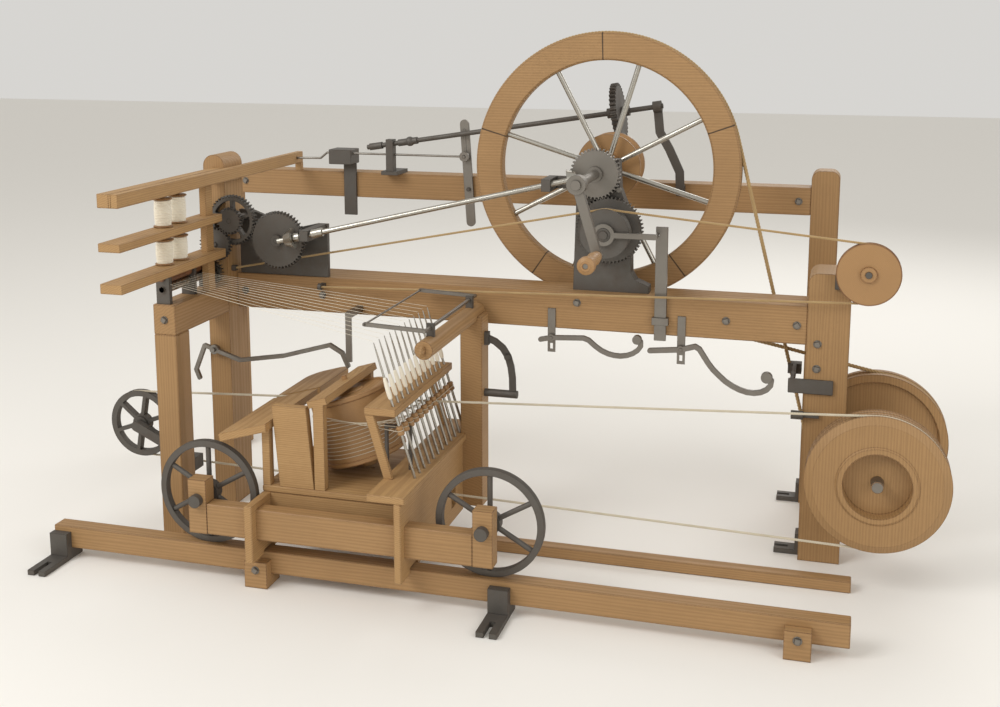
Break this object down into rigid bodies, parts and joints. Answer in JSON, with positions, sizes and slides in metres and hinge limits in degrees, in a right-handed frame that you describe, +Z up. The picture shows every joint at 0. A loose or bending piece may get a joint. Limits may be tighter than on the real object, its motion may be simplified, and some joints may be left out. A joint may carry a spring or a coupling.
{
  "type": "spinning_mule",
  "caption": "Early spinning mule on a timber frame: hand-cranked wheel, geared drawing rollers, creel of bobbins and a rolling carriage of leaning spindles driven by a band and a drum",
  "frame": {"origin": "on the floor, under the middle of the whole machine", "axes": "+X runs along the rails from the creel to the driving pulleys, +Y away from the worker, +Z up"},
  "size_m": [2.808, 1.366, 1.6854],
  "materials": {
    "timber": "oiled oak, worn edges",
    "planks": "planed pine, darkened with use",
    "turned_wood": "turned and waxed beech",
    "cast_iron": "blackened casting",
    "wrought_iron": "forged and filed, oiled",
    "roller_leather": "smooth leather",
    "hemp_rope": "laid hemp",
    "cotton": "spun cotton"
  },
  "bodies": {
    "frame": {"front_floor_rail": "timber", "back_floor_rail": "timber", "iron_feet": "cast_iron", "rail_blocks": "timber", "left_posts": "timber", "right_posts": "timber", "roller_beam": "timber", "front_rail": "timber", "back_rail": "timber", "frame_bolts": "wrought_iron", "wheel_stand": "cast_iron", "creel_frame": "planks", "roller_stands": "cast_iron", "gear_stand": "cast_iron", "pulley_brackets": "cast_iron", "lever_hangers": "cast_iron", "back_rail_irons": "cast_iron", "rim_rope": "hemp_rope", "spindle_band": "cotton", "draw_cord": "hemp_rope", "bobbins": "cotton"},
    "wheel": {"wheel_rim": "turned_wood", "wheel_spokes": "wrought_iron", "wheel_hub": "turned_wood", "wheel_axle": "wrought_iron", "crank_arm": "wrought_iron"},
    "handle": {"crank_handle": "turned_wood"},
    "inclined": {"inclined_shaft": "wrought_iron"},
    "crown": {"crown_wheel": "cast_iron"},
    "spoked": {"spoked_wheel": "cast_iron"},
    "idler": {"idler_gear": "cast_iron"},
    "bottom_roller": {"lower_roller": "wrought_iron"},
    "top_roller": {"upper_roller": "roller_leather"},
    "drum": {"draw_drum": "cast_iron"},
    "clutch": {"clutch_lever": "wrought_iron"},
    "lift": {"lift_rod": "wrought_iron"},
    "scroll_left": {"scroll_lever_left": "wrought_iron"},
    "scroll_right": {"scroll_lever_right": "wrought_iron"},
    "long_lever": {"left_lever": "wrought_iron"},
    "cord_pulley": {"draw_pulley": "turned_wood"},
    "driver": {"twin_pulleys": "turned_wood"},
    "tail_pulley": {"left_pulley": "cast_iron"},
    "tappet": {"tappet_shaft": "cast_iron"},
    "slot_lever": {"slotted_lever": "wrought_iron"},
    "link": {"wire_link": "wrought_iron"},
    "carriage": {"carriage_beams": "timber", "carriage_sides": "planks", "carriage_boards": "planks", "shelf_board": "planks", "spindle_rails": "planks", "spindles": "wrought_iron", "carriage_post": "timber", "carriage_irons": "cast_iron", "yarns": "cotton"},
    "tin": {"tin_drum": "turned_wood"},
    "faller_frame": {"faller": "wrought_iron"},
    "front_wheel_left": {"track_wheel_left": "cast_iron"},
    "front_wheel_right": {"track_wheel_right": "cast_iron"},
    "back_wheel_left": {"rear_roller_left": "cast_iron"},
    "back_wheel_right": {"rear_roller_right": "cast_iron"}
  },
  "joints": [
    {"name": "wheel_turn", "type": "hinge", "parent": "frame", "child": "wheel", "pos_m": [0.266, 0, 1.229], "axis": [0, 1, 0], "continuous": true},
    {"name": "handle_turn", "type": "hinge", "parent": "wheel", "child": "handle", "pos_m": [0.33178, -0.25, 1.01383], "axis": [0, 1, 0], "continuous": true},
    {"name": "shaft_turn", "type": "hinge", "parent": "frame", "child": "inclined", "pos_m": [-0.812, -0.047, 0.979], "axis": [0.9672, 0.1193, 0.2243], "continuous": true},
    {"name": "crown_turn", "type": "hinge", "parent": "frame", "child": "crown", "pos_m": [-0.812, 0, 0.979], "axis": [0, 1, 0], "continuous": true},
    {"name": "spoked_turn", "type": "hinge", "parent": "frame", "child": "spoked", "pos_m": [-0.98114, 0, 1.04056], "axis": [0, 1, 0], "continuous": true},
    {"name": "idler_turn", "type": "hinge", "parent": "frame", "child": "idler", "pos_m": [-1.03749, -0.01, 0.95795], "axis": [0, 1, 0], "continuous": true},
    {"name": "bottom_roller_turn", "type": "hinge", "parent": "frame", "child": "bottom_roller", "pos_m": [-1.062, -0.18, 0.861], "axis": [0, 1, 0], "continuous": true},
    {"name": "top_roller_turn", "type": "hinge", "parent": "frame", "child": "top_roller", "pos_m": [-1.062, -0.18, 0.8955], "axis": [0, 1, 0], "continuous": true},
    {"name": "drum_turn", "type": "hinge", "parent": "frame", "child": "drum", "pos_m": [0.314, 0.06, 1.04723], "axis": [0, 1, 0], "continuous": true},
    {"name": "cord_pulley_turn", "type": "hinge", "parent": "frame", "child": "cord_pulley", "pos_m": [1.128, 0.06, 0.958], "axis": [0, 1, 0], "continuous": true},
    {"name": "driver_turn", "type": "hinge", "parent": "frame", "child": "driver", "pos_m": [1.179, 0.1, 0.362], "axis": [0, 1, 0], "continuous": true},
    {"name": "tail_pulley_turn", "type": "hinge", "parent": "frame", "child": "tail_pulley", "pos_m": [-1.286, -0.125, 0.33], "axis": [0, 1, 0], "continuous": true},
    {"name": "tappet_turn", "type": "hinge", "parent": "frame", "child": "tappet", "pos_m": [0.257, 0.56, 1.398], "axis": [0.9877, 0, 0.1565], "continuous": true},
    {"name": "lift_slide", "type": "slide", "parent": "frame", "child": "lift", "axis": [0, 0, 1], "range_m": [-0.004, 0.012]},
    {"name": "clutch_tilt", "type": "hinge", "parent": "frame", "child": "clutch", "pos_m": [0.314, 0.023, 1.04723], "axis": [0, 1, 0], "range_deg": [-4.6, 2]},
    {"name": "scroll_left_tilt", "type": "hinge", "parent": "frame", "child": "scroll_left", "pos_m": [0.131, 0.083, 0.684], "axis": [0, 1, 0], "range_deg": [-5, 5]},
    {"name": "scroll_right_tilt", "type": "hinge", "parent": "frame", "child": "scroll_right", "pos_m": [0.56, 0.083, 0.674], "axis": [0, 1, 0], "range_deg": [-5, 5]},
    {"name": "long_lever_tilt", "type": "hinge", "parent": "frame", "child": "long_lever", "pos_m": [-1.066, 0, 0.578], "axis": [0, 1, 0], "range_deg": [-3, 3]},
    {"name": "slot_lever_tilt", "type": "hinge", "parent": "frame", "child": "slot_lever", "pos_m": [-0.308, 0.582, 1.098], "axis": [0, 1, 0], "range_deg": [-2.5, 2.5]},
    {"name": "link_slide", "type": "slide", "parent": "frame", "child": "link", "axis": [1, 0, 0], "range_m": [-0.0056, 0.0056]},
    {"name": "carriage_travel", "type": "slide", "parent": "frame", "child": "carriage", "axis": [1, 0, 0], "range_m": [0, 0.85]},
    {"name": "tin_turn", "type": "hinge", "parent": "carriage", "child": "tin", "pos_m": [-0.42, -0.2595, 0.452], "axis": [-0.2924, 0, 0.9563], "continuous": true},
    {"name": "faller_lift", "type": "hinge", "parent": "carriage", "child": "faller_frame", "pos_m": [-0.121, -0.2, 0.818], "axis": [0, 1, 0], "range_deg": [0, 25]},
    {"name": "front_left_roll", "type": "hinge", "parent": "carriage", "child": "front_wheel_left", "pos_m": [-0.817, -0.51, 0.273], "axis": [0, 1, 0], "range_deg": [0, 296]},
    {"name": "front_right_roll", "type": "hinge", "parent": "carriage", "child": "front_wheel_right", "pos_m": [0.094, -0.51, 0.273], "axis": [0, 1, 0], "range_deg": [0, 296]},
    {"name": "back_left_roll", "type": "hinge", "parent": "carriage", "child": "back_wheel_left", "pos_m": [-0.57, -0.089, 0.082], "axis": [0, 1, 0], "range_deg": [0, 1083]},
    {"name": "back_right_roll", "type": "hinge", "parent": "carriage", "child": "back_wheel_right", "pos_m": [-0.215, -0.089, 0.082], "axis": [0, 1, 0], "range_deg": [0, 1083]}
  ],
  "couplings": [
    {"joint": "shaft_turn", "follows": "wheel_turn", "ratio": 2.2222},
    {"joint": "crown_turn", "follows": "wheel_turn", "ratio": -0.83333},
    {"joint": "spoked_turn", "follows": "wheel_turn", "ratio": 0.95238},
    {"joint": "idler_turn", "follows": "wheel_turn", "ratio": -0.7483},
    {"joint": "bottom_roller_turn", "follows": "wheel_turn", "ratio": 0.95238},
    {"joint": "top_roller_turn", "follows": "wheel_turn", "ratio": -0.84656},
    {"joint": "drum_turn", "follows": "wheel_turn", "ratio": -0.74074},
    {"joint": "cord_pulley_turn", "follows": "wheel_turn", "ratio": -0.61594},
    {"joint": "driver_turn", "follows": "wheel_turn", "ratio": -2.0595},
    {"joint": "tail_pulley_turn", "follows": "wheel_turn", "ratio": -3.7909},
    {"joint": "tappet_turn", "follows": "wheel_turn", "ratio": 0.027778},
    {"joint": "clutch_tilt", "follows": "lift_slide", "rad_per_m": -6.0976},
    {"joint": "link_slide", "follows": "slot_lever_tilt", "m_per_rad": 0.124},
    {"joint": "front_left_roll", "follows": "carriage_travel", "rad_per_m": 6.0606},
    {"joint": "front_right_roll", "follows": "carriage_travel", "rad_per_m": 6.0606},
    {"joint": "back_left_roll", "follows": "carriage_travel", "rad_per_m": 22.222},
    {"joint": "back_right_roll", "follows": "carriage_travel", "rad_per_m": 22.222},
    {"joint": "tin_turn", "follows": "wheel_turn", "ratio": 3.1849}
  ]
}
